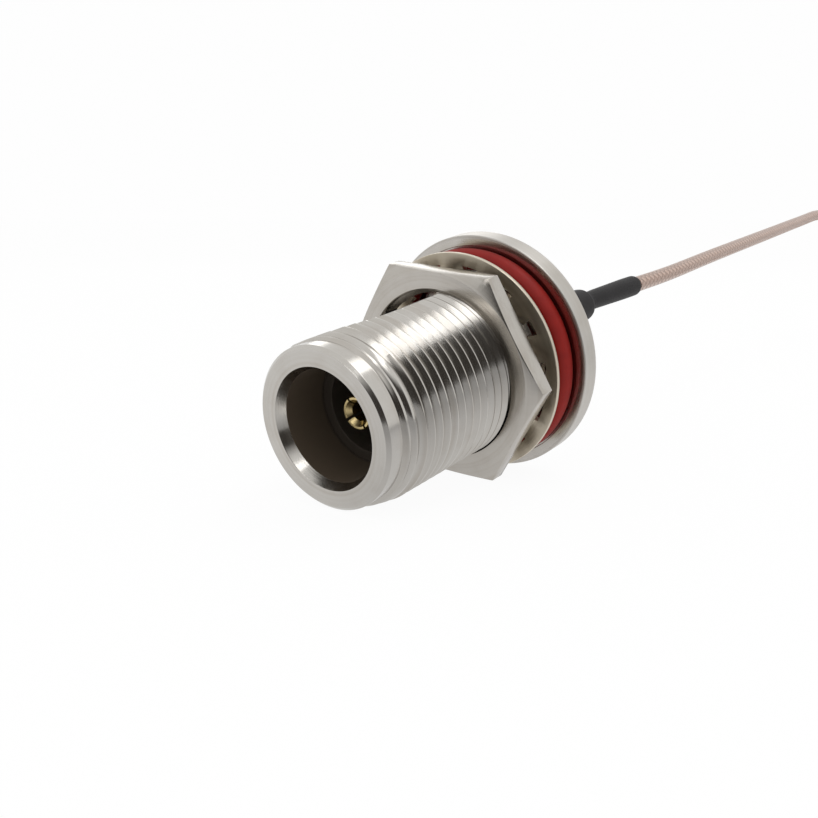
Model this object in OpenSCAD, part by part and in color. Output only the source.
// Coaxial bulkhead jack with a coupling thread, on a thin cable that ends in a small screw-on plug.
// The jack lies on its flange rim and the start of its thread, nose towards -Y, cable towards +Y.
// Inside each module of the jack, +Z is the jack's own axis, from the nose face towards the cable.

/* [Nose and thread] */
// Diameter of the plain nose band
nose_d = 14.4; // [14.2:0.05:14.6]
// Outside diameter of the coupling thread
thread_d = 15.875; // [15.6:0.025:16]
// Distance from one thread crest to the next
thread_pitch = 1.058; // [1:0.001:1.27]
// Distance from the nose face to the end of the nose band
nose_len = 1.7; // [1.4:0.1:2]
// Distance from the nose face to the first full thread
thread_from = 3.6; // [3.2:0.1:4]
// Distance from the axis to the flat along the thread
flat_h = 6.9; // [6.6:0.05:7.1]
// Turn of that flat about the axis
flat_turn = 109; // [100:1:120]
// Diameter of the mouth at the nose face
mouth_d = 10.5; // [10.3:0.05:10.8]
// Diameter of the hollow behind the mouth
hollow_d = 10; // [9.6:0.05:10.2]

/* [Flange] */
// Diameter of the flange
flange_d = 23; // [22.4:0.1:24]
// Distance from the nose face to the flange's front face
flange_from = 22.75; // [22.4:0.05:24]
// Thickness of the flange
flange_t = 1.95; // [1.4:0.05:2.2]
// Thickness of the sealing ring's cord
seal_cord = 2; // [1.7:0.05:2.1]

/* [Nut and washer] */
// Wall of the nut between its bore and the middle of a flat
nut_wall = 1.65; // [1.4:0.05:1.8]
// Thickness of the nut
nut_t = 1.95; // [1.6:0.05:2.1]
// Distance from the nose face to the nut's front face
nut_from = 15.7; // [15:0.05:15.8]
// Turn of the nut about the axis
nut_turn = 5; // [-6:1:6]
// Width of the lock washer's plain ring
washer_rim = 1.35; // [0.9:0.05:1.4]
// Length of the lock washer's teeth, inside that ring
tooth_len = 1.25; // [1:0.05:1.4]
// Thickness of the lock washer
washer_t = 0.6; // [0.5:0.05:0.7]
// Number of teeth on the lock washer
washer_teeth = 14; // [10:1:16]
// Twist of a tooth out of the washer's plane
tooth_twist = 30; // [20:1:35]

/* [Contact and insulators] */
// Outside diameter of the slotted centre contact
contact_d = 3.04; // [2.8:0.02:3.1]
// Diameter of the contact's socket
socket_d = 1.65; // [1.6:0.01:1.7]
// Depth of the contact's tip behind the nose face
contact_from = 4.3; // [4:0.1:5.2]
// Depth of the contact's socket
socket_len = 6.7; // [6:0.1:7]
// Length of the slots that make the contact springy
slot_len = 5; // [4:0.1:6]
// Width of those slots
slot_w = 0.24; // [0.2:0.01:0.26]
// Turn of those slots about the axis
slot_turn = 59; // [45:1:75]
// Diameter of the outer contact's bore around the centre contact
outer_contact_d = 8.1; // [8:0.05:8.4]

/* [Cable] */
// Outside diameter of the cable
cable_d = 1.8; // [1.7:0.05:1.85]
// Outside diameter of the crimped ferrule
ferrule_d = 3.2; // [3.1:0.05:3.3]
// Outside diameter of the heat-shrink tube where it grips the cable
boot_d = 2.25; // [2.2:0.05:2.4]
// Distance from the nose face to the end of the heat-shrink tube
boot_end = 53.8; // [53:0.1:56]
// Bend of the heat-shrink tube below the jack's axis
boot_droop = 4; // [3:0.5:6]
// Diameter of the coil, at the middle of its turns
coil_d = 20; // [19:0.5:21]

/* [Plug] */
// Width across the flats of the plug's coupling nut
plug_af = 8; // [7.8:0.05:8.4]
// Length of the plug's coupling nut
plug_nut_len = 7.6; // [7.4:0.1:8]

/* [Fits] */
// Radial clearance of the nut and the washer on the thread
thread_gap = 0.06; // [0.04:0.01:0.1]
// Radial clearance between pieces that are assembled and don't move
seat_gap = 0.02; // [0.01:0.005:0.03]
// Radial running clearance of the plug's coupling nut
turn_gap = 0.08; // [0.05:0.01:0.1]
// Radial clearance of the sealing ring round the thread
seal_gap = 0.46; // [0.3:0.02:0.5]

/* [Hidden] */

$fn = 96;
eps = 0.01;

nickel = [0.72, 0.7, 0.67];
gold = [0.86, 0.72, 0.4];
silver = [0.8, 0.8, 0.8];
ptfe = [0.93, 0.93, 0.9];
silicone = [0.55, 0.13, 0.11];
shrink = [0.14, 0.13, 0.14];
jacket = [0.72, 0.6, 0.53];

// How the jack lies
thread_r = thread_d / 2;
flange_r = flange_d / 2;
tilt = atan((flange_r - thread_r) / (flange_from - thread_from));
lift = flange_r * cos(tilt) - flange_from * sin(tilt);
face_chamfer = 0.28;
face_r = nose_d / 2 - face_chamfer;
nose_reach = -face_r * sin(tilt);

// Lead-in between the nose band and the thread
lead_drop = [0.34, 0.19];
lead_at = [nose_len + 0.42, nose_len + 1.2];

// Bore of the body, from the nose to the rear
mouth_slope = 1.2;
step_at = 5.6;
step_edge = 0.4;
bead_from = 12;
bead_to = 16;
rear_r = 3.5;
contact_neck_r = 1.1;
contact_tail_r = 0.9;
drill_point = 31;

// Flange, and the boss behind it
flange_edge = 0.1;
flange_back_edge = 0.2;
boss_r = 6.2;
boss_len = 1.2;
barrel_r = 5;
barrel_edge = 0.4;
barrel_len = 5.75;
body_end = flange_from + flange_t + barrel_len;
rear_bead_to = flange_from + 1.25;

// Thread relief in front of the flange, and the sealing ring's groove
relief_depth = 0.66 * thread_pitch;
relief_r = thread_r - relief_depth;
relief_from = flange_from - 1.5 * thread_pitch;
relief_to = relief_from + 0.4;
groove_depth = 0.3;
seal_r = thread_r + seal_gap + seal_cord / 2;
seal_at = flange_from + groove_depth - seal_cord / 2;
groove_w = seal_cord + 0.2;

// Nut and washer
nut_bore_r = thread_r + thread_gap;
nut_back = nut_from + nut_t;
washer_back = seal_at - seal_cord / 2 - 1.1;
nut_af = 2 * (nut_bore_r + nut_wall);
nut_sink = 0.57 * thread_pitch;
nut_back_sink = 0.3;
tooth_w = 1.9;
tooth_reach = thread_r + thread_gap;
washer_in = tooth_reach + tooth_len;
washer_r = washer_in + washer_rim;

// Crimp and heat-shrink tube
stem_flange_t = 1.4;
stem_flange_r = barrel_r - 0.7;
stem_edge = 0.3;
stem_r = 0.62;
ferrule_from = body_end + stem_flange_t + 0.1;
ferrule_len = 9.6;
ferrule_to = ferrule_from + ferrule_len;
stem_to = ferrule_to - 1.8;
core_to = ferrule_to - 1.6;
braid_r = 0.82;
shrink_t = 0.3;
skirt_to = ferrule_to + 0.7;
neck_at = skirt_to + 1.6;
core_r = 0.42;
wire_r = 0.15;
cup_at = body_end - 2.45;
cup_wire_len = 2.5;
stem_cup_r = rear_r - 1.5;
stem_cup_from = rear_bead_to + 0.5;
stem_cup_to = cup_at + 1;
stem_cone_to = stem_cup_to + 1;
wire_from = cup_at - cup_wire_len + 0.1;
knuckle = 0.04;

// Where the heat-shrink tube ends, in the jack's own side view: along the axis, and below it
tail_len = boot_end - neck_at;
exit_along = neck_at + tail_len * cos(boot_droop);
exit_below = tail_len * sin(boot_droop);
boot_reach = exit_along * cos(tilt) + (exit_below + boot_d / 2) * sin(tilt);
middle_y = (nose_reach + boot_reach) / 2;
neck = [0, neck_at * cos(tilt) - middle_y, lift + neck_at * sin(tilt)];
exit = [0, exit_along * cos(tilt) + exit_below * sin(tilt) - middle_y,
    lift + exit_along * sin(tilt) - exit_below * cos(tilt)];

// Cable: free run, neat coil on the surface, short tail into the plug
run_route = [neck, exit, [-1, 38, 17.2], [-3, 55, 18.8], [-6, 80, 21], [-9, 105, 23.2], [-10, 116, 24.2],
    [-10.4, 122, 23.6], [-10.6, 127, 19.8], [-10.4, 131, 14], [-9.9, 135, 8], [-9, 140, 4.2],
    [-8, 146, 3]];
coil_at = [2, 146, 0];
coil_r = coil_d / 2;
coil_w = 2 * cable_d + 0.2;
tail_route = [[coil_at[0] + coil_r, coil_at[1], 3], [12, 142.4, 3], [12, 138.8, 3.5],
    [12, 135.2, 4.1], [12, 132.4, 4.1]];
run_step = 3.6;
cable_sides = 8;
tie_w = 2.2;
tie_t = 0.5;

// Plug, along its own axis from its open end to the cable
plug_at = tail_route[len(tail_route) - 1];
plug_z = plug_at[2];
plug_neck_r = 2.5;
plug_shell_r = 2.3;
plug_shoulder_r = 2.9;
plug_shoulder_from = 4.6;
plug_wall_at = 5.6;
plug_collar_to = plug_nut_len + 3.2;
plug_insulator_r = 2.05;
plug_pin_r = 0.457;
plug_ferrule_to = plug_collar_to + 6.2;
plug_end = plug_ferrule_to + 5;
ring_at = 6.3;
ring_t = 0.4;

// ---- Helpers ----

// Sets the jack's own axis down in the resting pose
module laid() {
    translate([0, -middle_y, lift])
        rotate([tilt - 90, 0, 0])
            children();
}

// The plug's own axis: its open end faces -Y, and its cable end meets the tail of the cable
module plugged() {
    translate([plug_at[0], plug_at[1] - plug_end, plug_z])
        rotate([-90, 0, 0])
            children();
}

// Turned piece from [radius, height] corners
module turned(corners) {
    rotate_extrude()
        polygon(corners);
}

// Straight sleeve between two heights
module sleeve(r_out, r_in, from, to) {
    translate([0, 0, from])
        difference() {
            cylinder(r = r_out, h = to - from);
            translate([0, 0, -eps])
                cylinder(r = r_in, h = to - from + 2 * eps);
        }
}

// Hexagonal prism with its corners chamfered at one end or both
module chamfered_hex(af, from, t, chamfer, both) {
    corner_r = af / sqrt(3);
    face_r = af / 2 - chamfer;
    rim_r = corner_r + chamfer;
    rise = (rim_r - face_r) * tan(30);
    translate([0, 0, from])
        intersection() {
            cylinder(r = corner_r, h = t, $fn = 6);
            turned([[0, 0], [face_r, 0], [rim_r, rise], [rim_r, both ? t - rise : t],
                [both ? face_r : rim_r, t], [0, t]]);
        }
}

// Point on a Catmull-Rom curve through four points
function curve(a, b, c, d, t) =
    0.5 * (2 * b + (c - a) * t + (2 * a - 5 * b + 4 * c - d) * t * t
        + (3 * b - a - 3 * c + d) * t * t * t);

// Smooth path through a route, with a point about every step
function smooth(route, step) =
    let (n = len(route))
    concat([for (i = [0:n - 2])
        let (a = i == 0 ? 2 * route[0] - route[1] : route[i - 1],
            d = i == n - 2 ? 2 * route[n - 1] - route[n - 2] : route[i + 2],
            cuts = max(1, round(norm(route[i + 1] - route[i]) / step)))
        for (k = [0:cuts - 1]) curve(a, route[i], route[i + 1], d, k / cuts)],
        [route[n - 1]]);

function unit(v) = v / norm(v);

// Direction of a path at one of its points
function heading(path, i) =
    unit(path[min(i + 1, len(path) - 1)] - path[max(i - 1, 0)]);

// Ring of points round a path point. The path never runs straight up, so X serves as a side.
function ring(path, i, r, sides) =
    let (along = heading(path, i),
        over = unit(cross([1, 0, 0], along)),
        side = cross(along, over))
    [for (k = [0:sides - 1])
        path[i] + r * (cos(360 * k / sides) * side + sin(360 * k / sides) * over)];

// Closed tube along a route
module cable_tube(route, r, sides, step) {
    path = smooth(route, step);
    last = len(path) - 1;
    points = [for (i = [0:last]) each ring(path, i, r, sides)];
    walls = [for (i = [0:last - 1], k = [0:sides - 1])
        let (n = (k + 1) % sides)
        [i * sides + k, (i + 1) * sides + k, (i + 1) * sides + n, i * sides + n]];
    near_end = [for (k = [0:sides - 1]) k];
    far_end = [for (k = [sides - 1:-1:0]) last * sides + k];
    polyhedron(points, concat([near_end], walls, [far_end]));
}

// ---- Jack ----

module body_shape() {
    contact_r = outer_contact_d / 2;
    flange_back = flange_from + flange_t;
    groove_to = flange_from + groove_depth;
    turned([[mouth_d / 2, 0], [face_r, 0], [nose_d / 2, face_chamfer], [nose_d / 2, nose_len],
        [thread_r - lead_drop[0], lead_at[0]], [thread_r - lead_drop[1], lead_at[1]],
        [thread_r, thread_from], [thread_r, relief_from], [relief_r, relief_to], [relief_r, flange_from],
        [seal_r - groove_w / 2, flange_from], [seal_r - groove_w / 2, groove_to],
        [seal_r + groove_w / 2, groove_to], [seal_r + groove_w / 2, flange_from],
        [flange_r - flange_edge, flange_from], [flange_r, flange_from + flange_edge],
        [flange_r, flange_back - flange_back_edge], [flange_r - flange_back_edge, flange_back],
        [boss_r, flange_back], [boss_r, flange_back + boss_len],
        [barrel_r, flange_back + boss_len + (boss_r - barrel_r) / 2], [barrel_r, body_end - barrel_edge],
        [barrel_r - barrel_edge, body_end], [rear_r, body_end], [rear_r, bead_to], [contact_r, bead_to],
        [contact_r, step_at + step_edge], [contact_r + step_edge, step_at], [hollow_d / 2, step_at],
        [hollow_d / 2, mouth_slope]]);
}

module connector_body() {
    color(nickel)
        laid()
            difference() {
                body_shape();
                rotate([0, 0, -flat_turn])
                    translate([flat_h, -flange_r, -eps])
                        cube([flange_r, flange_d, relief_to + eps]);
            }
}

module centre_contact() {
    r = contact_d / 2;
    tip_edge = 0.1;
    socket_r = socket_d / 2;
    socket_to = contact_from + socket_len;
    wire_hole_r = wire_r + seat_gap;
    color(gold)
        laid()
            difference() {
                turned([[socket_r + step_edge, contact_from], [r - tip_edge, contact_from],
                    [r, contact_from + tip_edge], [r, bead_from - seat_gap],
                    [contact_neck_r, bead_from - seat_gap], [contact_neck_r, bead_to],
                    [contact_tail_r, bead_to], [contact_tail_r, cup_at], [wire_hole_r, cup_at],
                    [wire_hole_r, cup_at - cup_wire_len], [0, cup_at - cup_wire_len],
                    [0, socket_to + socket_r * tan(drill_point)], [socket_r, socket_to],
                    [socket_r, contact_from + step_edge]]);
                for (turn = [slot_turn, slot_turn + 90])
                    rotate([0, 0, turn])
                        translate([-contact_d, -slot_w / 2, contact_from - slot_len])
                            cube([2 * contact_d, slot_w, 2 * slot_len]);
            }
}

module front_insulator() {
    color(ptfe)
        laid()
            sleeve(outer_contact_d / 2 - seat_gap, contact_neck_r + seat_gap, bead_from, bead_to - seat_gap);
}

module rear_insulator() {
    color(ptfe)
        laid()
            sleeve(rear_r - seat_gap, contact_tail_r + seat_gap, bead_to + seat_gap, rear_bead_to);
}

module crimp_stem() {
    flange_to = body_end + stem_flange_t;
    color(nickel)
        laid()
            turned([[stem_cup_r, stem_cup_from], [rear_r - seat_gap, stem_cup_from],
                [rear_r - seat_gap, body_end + seat_gap],
                [stem_flange_r, body_end + seat_gap], [stem_flange_r, flange_to - stem_edge],
                [stem_flange_r - stem_edge, flange_to], [stem_r, flange_to], [stem_r, stem_to],
                [core_r + seat_gap, stem_to], [core_r + seat_gap, stem_cone_to], [stem_cup_r, stem_cup_to]]);
}

module crimp_ferrule() {
    color(nickel)
        laid()
            sleeve(ferrule_d / 2, cable_d / 2 + seat_gap, ferrule_from, ferrule_to);
}

module braid_end() {
    color(silver)
        laid()
            sleeve(braid_r, stem_r + seat_gap, ferrule_from, stem_to - seat_gap);
}

module dielectric_end() {
    color(ptfe)
        laid()
            sleeve(core_r, wire_r + seat_gap, cup_at + seat_gap, core_to);
}

module conductor_end() {
    color(silver)
        laid()
            translate([0, 0, wire_from])
                cylinder(r = wire_r, h = core_to - wire_from);
}

// Bends the children down about the neck of the heat-shrink tube
module drooped() {
    translate([0, 0, neck_at])
        rotate([-boot_droop, 0, 0])
            children();
}

module jacket_end() {
    from = ferrule_to - 1.5;
    color(jacket)
        laid()
            translate([0, 0, from])
                cylinder(r = cable_d / 2, h = neck_at - from);
}

module heat_shrink_boot() {
    r = boot_d / 2;
    inner = cable_d / 2 + seat_gap;
    skirt_r = ferrule_d / 2 + shrink_t;
    color(shrink)
        laid()
            difference() {
                union() {
                    turned([[0, ferrule_from + 0.3], [skirt_r, ferrule_from + 0.3], [skirt_r, skirt_to - 0.4],
                        [skirt_r - 0.15, skirt_to], [r + 0.12, neck_at - 0.3], [r, neck_at], [0, neck_at]]);
                    translate([0, 0, neck_at])
                        sphere(r = r + knuckle);
                    drooped()
                        turned([[0, 0], [r, 0], [r, tail_len - 0.5], [r - 0.15, tail_len], [0, tail_len]]);
                }
                translate([0, 0, ferrule_from])
                    cylinder(r = ferrule_d / 2 + seat_gap, h = ferrule_to - ferrule_from + seat_gap);
                translate([0, 0, ferrule_from])
                    cylinder(r = inner, h = neck_at - ferrule_from);
                translate([0, 0, neck_at])
                    sphere(r = inner + knuckle);
                drooped()
                    cylinder(r = inner, h = tail_len + 1);
            }
}

module sealing_ring() {
    color(silicone)
        laid()
            translate([0, 0, seal_at])
                rotate_extrude()
                    translate([seal_r, 0])
                        circle(d = seal_cord, $fn = 32);
}

module lock_washer() {
    root = 0.3;
    color(nickel)
        laid()
            difference() {
                union() {
                    sleeve(washer_r, washer_in, washer_back - washer_t, washer_back);
                    for (i = [0:washer_teeth - 1])
                        rotate([0, 0, 360 * i / washer_teeth])
                            translate([tooth_reach, 0, washer_back - washer_t / 2])
                                rotate([tooth_twist, 0, 0])
                                    translate([0, -tooth_w / 2, -washer_t / 2])
                                        cube([tooth_len + root, tooth_w, washer_t]);
                }
                translate([0, 0, washer_back - tooth_w])
                    cylinder(r = tooth_reach, h = 2 * tooth_w);
            }
}

module hex_nut() {
    color(nickel)
        laid()
            difference() {
                rotate([0, 0, nut_turn])
                    chamfered_hex(nut_af, nut_from, nut_t, 0.05, false);
                translate([0, 0, nut_from - eps])
                    cylinder(r = nut_bore_r, h = nut_t + 2 * eps);
                turned([[0, nut_from - eps], [nut_bore_r + nut_sink, nut_from - eps],
                    [nut_bore_r, nut_from + nut_sink], [0, nut_from + nut_sink]]);
                turned([[0, nut_back + eps], [nut_bore_r + nut_back_sink, nut_back + eps],
                    [nut_bore_r, nut_back - nut_back_sink], [0, nut_back - nut_back_sink]]);
            }
}

// ---- Cable ----

module cable_run() {
    color(jacket)
        cable_tube(run_route, cable_d / 2, cable_sides, run_step);
}

module cable_tail() {
    color(jacket)
        cable_tube(tail_route, cable_d / 2, cable_sides, run_step);
}

module cable_coil() {
    color(jacket)
        translate([coil_at[0], coil_at[1], 0])
            rotate_extrude()
                translate([coil_r - coil_w / 2, 0])
                    square([coil_w, coil_w]);
}

module coil_tie() {
    color(shrink)
        translate([coil_at[0], coil_at[1] + coil_r, 0])
            difference() {
                translate([-tie_w / 2, -coil_w / 2 - tie_t, 0])
                    cube([tie_w, coil_w + 2 * tie_t, coil_w + tie_t]);
                translate([0, -coil_r, -eps])
                    sleeve(coil_r + coil_w / 2 + seat_gap, coil_r - coil_w / 2 - seat_gap, 0,
                        coil_w + seat_gap + eps);
            }
}

// ---- Plug ----

module plug_nut() {
    r_in = plug_shoulder_r + turn_gap;
    color(nickel)
        plugged()
            difference() {
                chamfered_hex(plug_af, 0, plug_nut_len, 0.1, true);
                translate([0, 0, -eps])
                    cylinder(r = r_in, h = plug_wall_at + eps);
                translate([0, 0, -eps])
                    cylinder(r = plug_neck_r + turn_gap, h = plug_nut_len + 2 * eps);
                translate([0, 0, ring_at - turn_gap])
                    cylinder(r = r_in, h = ring_t + 2 * turn_gap);
            }
}

module plug_body() {
    neck_groove_r = plug_neck_r - 0.3;
    color(nickel)
        plugged()
            turned([[plug_insulator_r + seat_gap, 1.6], [plug_shell_r, 1.6],
                [plug_shell_r, plug_shoulder_from],
                [plug_shoulder_r, plug_shoulder_from], [plug_shoulder_r, plug_wall_at - turn_gap],
                [plug_neck_r, plug_wall_at - turn_gap], [plug_neck_r, ring_at - seat_gap],
                [neck_groove_r, ring_at - seat_gap], [neck_groove_r, ring_at + ring_t + seat_gap],
                [plug_neck_r, ring_at + ring_t + seat_gap], [plug_neck_r, plug_nut_len + 0.15],
                [3.2, plug_nut_len + 0.15], [3.2, plug_collar_to - 0.3], [2.9, plug_collar_to],
                [stem_r, plug_collar_to], [stem_r, plug_ferrule_to - 1.2],
                [core_r + seat_gap, plug_ferrule_to - 1.2], [core_r + seat_gap, plug_collar_to - 1],
                [plug_insulator_r + seat_gap, plug_collar_to - 1]]);
}

module plug_snap_ring() {
    r_in = plug_neck_r - 0.3 + seat_gap;
    r_out = plug_shoulder_r;
    color(silver)
        plugged()
            difference() {
                sleeve(r_out, r_in, ring_at, ring_at + ring_t);
                translate([0, -0.5, ring_at - eps])
                    cube([r_out + 1, 1, ring_t + 2 * eps]);
            }
}

module plug_gasket() {
    color(silicone)
        plugged()
            sleeve(plug_shoulder_r, plug_shell_r + seat_gap, plug_shoulder_from - 0.6 - seat_gap,
                plug_shoulder_from - seat_gap);
}

module plug_insulator() {
    color(ptfe)
        plugged()
            sleeve(plug_insulator_r, plug_pin_r + seat_gap, 1.8, plug_collar_to - 1.2);
}

module plug_pin() {
    color(gold)
        plugged()
            turned([[0, 0.5], [0.15, 0.5], [plug_pin_r, 1], [plug_pin_r, plug_collar_to - 1.2],
                [0, plug_collar_to - 1.2]]);
}

module plug_ferrule() {
    color(nickel)
        plugged()
            sleeve(ferrule_d / 2, cable_d / 2 + seat_gap, plug_collar_to + 0.1, plug_ferrule_to);
}

module plug_sleeve() {
    r = boot_d / 2;
    skirt_r = ferrule_d / 2 + shrink_t;
    color(shrink)
        plugged()
            difference() {
                turned([[0, plug_collar_to + 0.4], [skirt_r, plug_collar_to + 0.4],
                    [skirt_r, plug_ferrule_to + 0.4], [r, plug_ferrule_to + 1.8], [r, plug_end - 0.4],
                    [r - 0.15, plug_end], [0, plug_end]]);
                translate([0, 0, plug_collar_to])
                    cylinder(r = ferrule_d / 2 + seat_gap, h = plug_ferrule_to - plug_collar_to + seat_gap);
            }
}

// ---- The nodes ----

connector_body();
centre_contact();
front_insulator();
rear_insulator();
crimp_stem();
crimp_ferrule();
heat_shrink_boot();
sealing_ring();
lock_washer();
hex_nut();
conductor_end();
dielectric_end();
braid_end();
jacket_end();
cable_run();
cable_coil();
cable_tail();
coil_tie();
plug_body();
plug_nut();
plug_snap_ring();
plug_gasket();
plug_insulator();
plug_pin();
plug_ferrule();
plug_sleeve();
